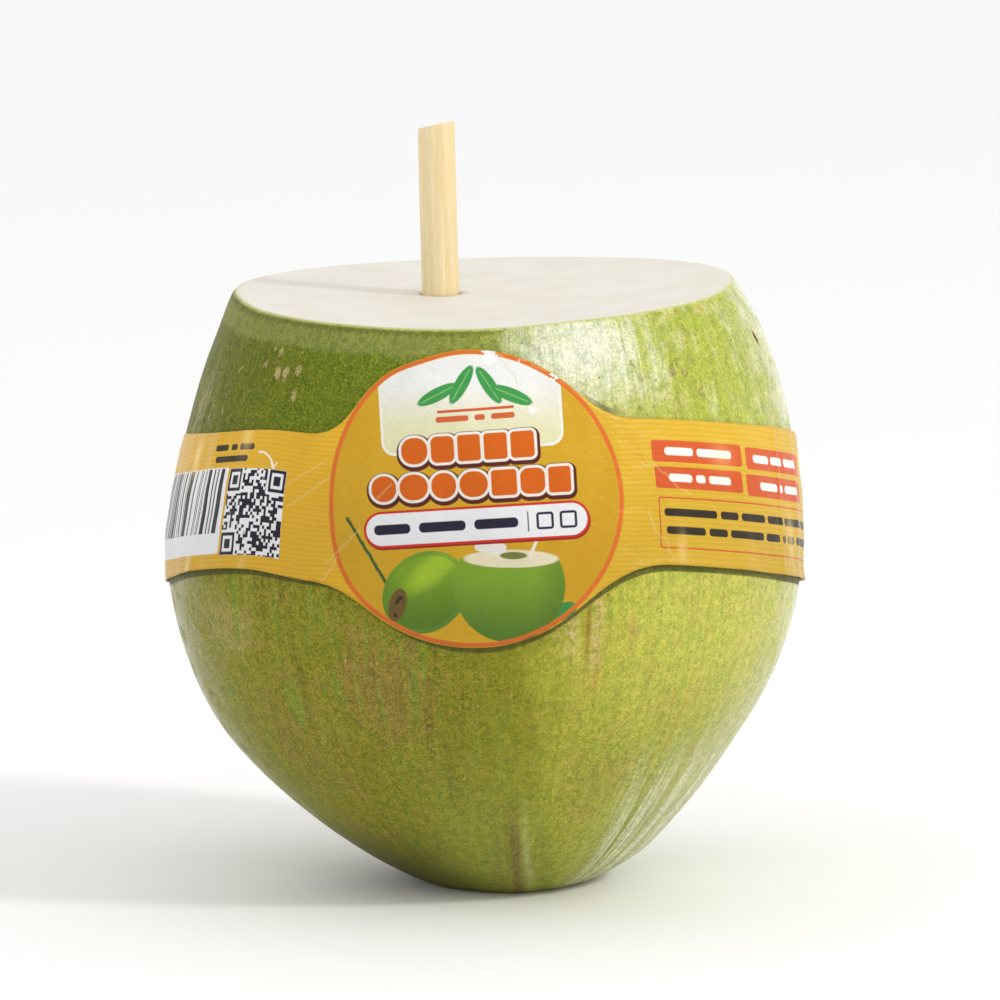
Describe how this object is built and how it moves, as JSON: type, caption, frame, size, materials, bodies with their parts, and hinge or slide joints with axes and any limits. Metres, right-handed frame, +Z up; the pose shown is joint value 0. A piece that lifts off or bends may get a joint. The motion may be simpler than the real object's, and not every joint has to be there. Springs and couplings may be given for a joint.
{
  "type": "young coconut",
  "caption": "Young green coconut, cut flat on top for drinking, with a printed film label wrapped round it and a straw standing in the cut face.",
  "frame": {"origin": "on the surface that the fruit rests on, under the middle of its bounding box", "axes": "+Z up, along the fruit from its flat spot to its cut face; -Y towards the round part of the label, +X to the right of it"},
  "size_m": [0.143, 0.143, 0.1706],
  "materials": {
    "coconut": "satin",
    "wrap_label": "gloss",
    "straw": "matte"
  },
  "bodies": {
    "root": {"coconut": "coconut", "wrap_label": "wrap_label", "straw": "straw"}
  },
  "joints": []
}
